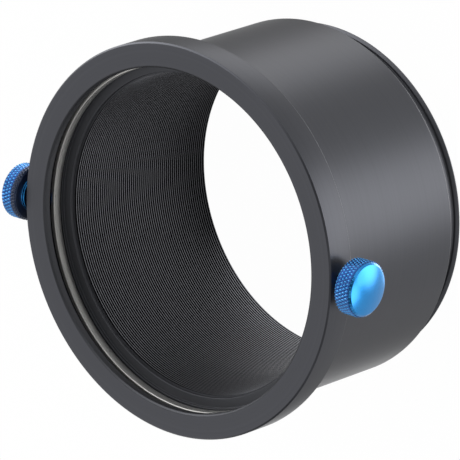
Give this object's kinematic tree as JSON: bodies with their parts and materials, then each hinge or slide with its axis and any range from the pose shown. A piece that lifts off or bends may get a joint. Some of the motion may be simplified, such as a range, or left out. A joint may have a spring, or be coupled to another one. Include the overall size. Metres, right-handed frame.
{
  "type": "extension tube",
  "caption": "Black extension tube that spaces optical barrels apart, with an undercut spigot behind and a socket in front, where knurled thumbscrews press on a split ring.",
  "frame": {"origin": "centre of the rear end, on the tube's axis, where the tube stands on its rim", "axes": "+Z along the tube's axis towards the front face, +X towards the right thumbscrew, +Y towards the slot in the compression ring"},
  "size_m": [0.1019, 0.0876, 0.0521],
  "materials": {
    "black_anodised": "satin black anodised, turned",
    "ring_metal": "satin, turned",
    "blue_anodised": "bright blue anodised, knurled rim and polished dome"
  },
  "bodies": {
    "tube": {"tube": "black_anodised", "compression_ring": "ring_metal"},
    "left_thumbscrew": {"left_thumbscrew": "blue_anodised"},
    "right_thumbscrew": {"right_thumbscrew": "blue_anodised"}
  },
  "joints": [
    {"name": "left_thumbscrew_travel", "type": "slide", "parent": "tube", "child": "left_thumbscrew", "axis": [-1, 0, 0], "range_m": [-0.00025, 0.0026]},
    {"name": "right_thumbscrew_travel", "type": "slide", "parent": "tube", "child": "right_thumbscrew", "axis": [1, 0, 0], "range_m": [-0.00155, 0.0013]}
  ]
}
